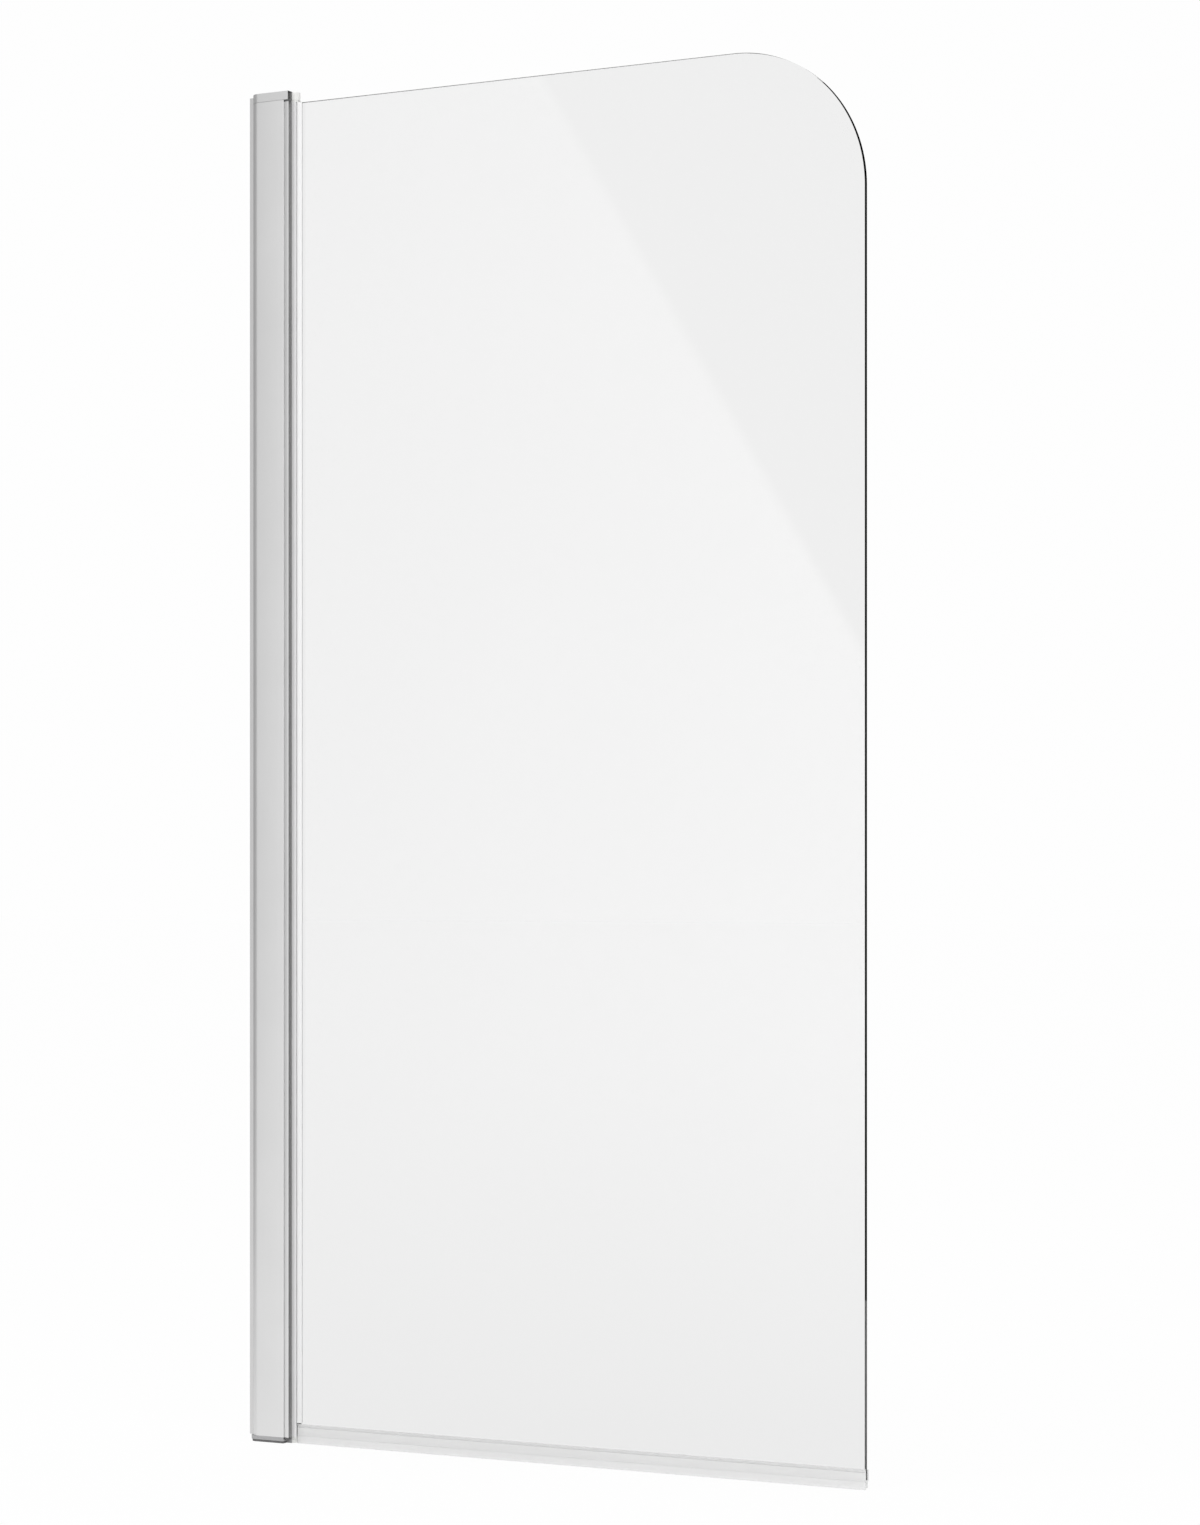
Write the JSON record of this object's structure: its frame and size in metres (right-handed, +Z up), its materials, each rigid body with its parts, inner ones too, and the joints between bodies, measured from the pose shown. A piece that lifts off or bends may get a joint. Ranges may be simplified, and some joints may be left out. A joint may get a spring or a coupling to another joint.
{
  "type": "bath screen",
  "caption": "Pivoting bath screen: rounded frameless glass panel on a full-height aluminium hinge post that slides over a wall channel, with a clear drip seal.",
  "frame": {"origin": "on the wall face of the wall channel, in line with the glass and half way up the screen", "axes": "+X out from the wall along the glass, +Y through the glass to the rear side, +Z up"},
  "size_m": [0.7, 0.028, 1.4],
  "materials": {
    "satin_aluminium": "satin anodised",
    "silver_casting": "satin silver paint",
    "grey_casting": "satin dark grey paint",
    "grey_plastic": "moulded, fine matt",
    "white_acetal": "moulded, smooth",
    "black_rubber": "matt",
    "clear_vinyl": "extruded, clear",
    "clear_glass": "toughened, polished edges",
    "stainless_steel": "bright turned"
  },
  "bodies": {
    "wall_profile": {"wall_channel": "satin_aluminium"},
    "hinge_post": {"casing": "satin_aluminium", "cover_strip": "satin_aluminium", "clamp_screws": "stainless_steel", "nut_plates": "stainless_steel", "wiper_strips": "black_rubber", "top_cap": "silver_casting", "bottom_cap": "grey_casting", "foot_pad": "black_rubber", "cap_screws": "stainless_steel", "top_bearing": "white_acetal", "bottom_bearing": "white_acetal"},
    "screen": {"pivot_rail": "satin_aluminium", "glazing_gasket": "clear_vinyl", "glass_panel": "clear_glass", "bottom_seal": "clear_vinyl", "top_plug": "grey_plastic", "bottom_plug": "grey_plastic", "top_carrier": "white_acetal", "bottom_carrier": "white_acetal", "plug_screws": "stainless_steel"}
  },
  "joints": [
    {"name": "width_adjust", "type": "slide", "parent": "wall_profile", "child": "hinge_post", "axis": [1, 0, 0], "range_m": [0, 0.012]},
    {"name": "screen_pivot", "type": "hinge", "parent": "hinge_post", "child": "screen", "pos_m": [0.05, 0, 0], "axis": [0, 0, 1], "range_deg": [-90, 90]}
  ]
}
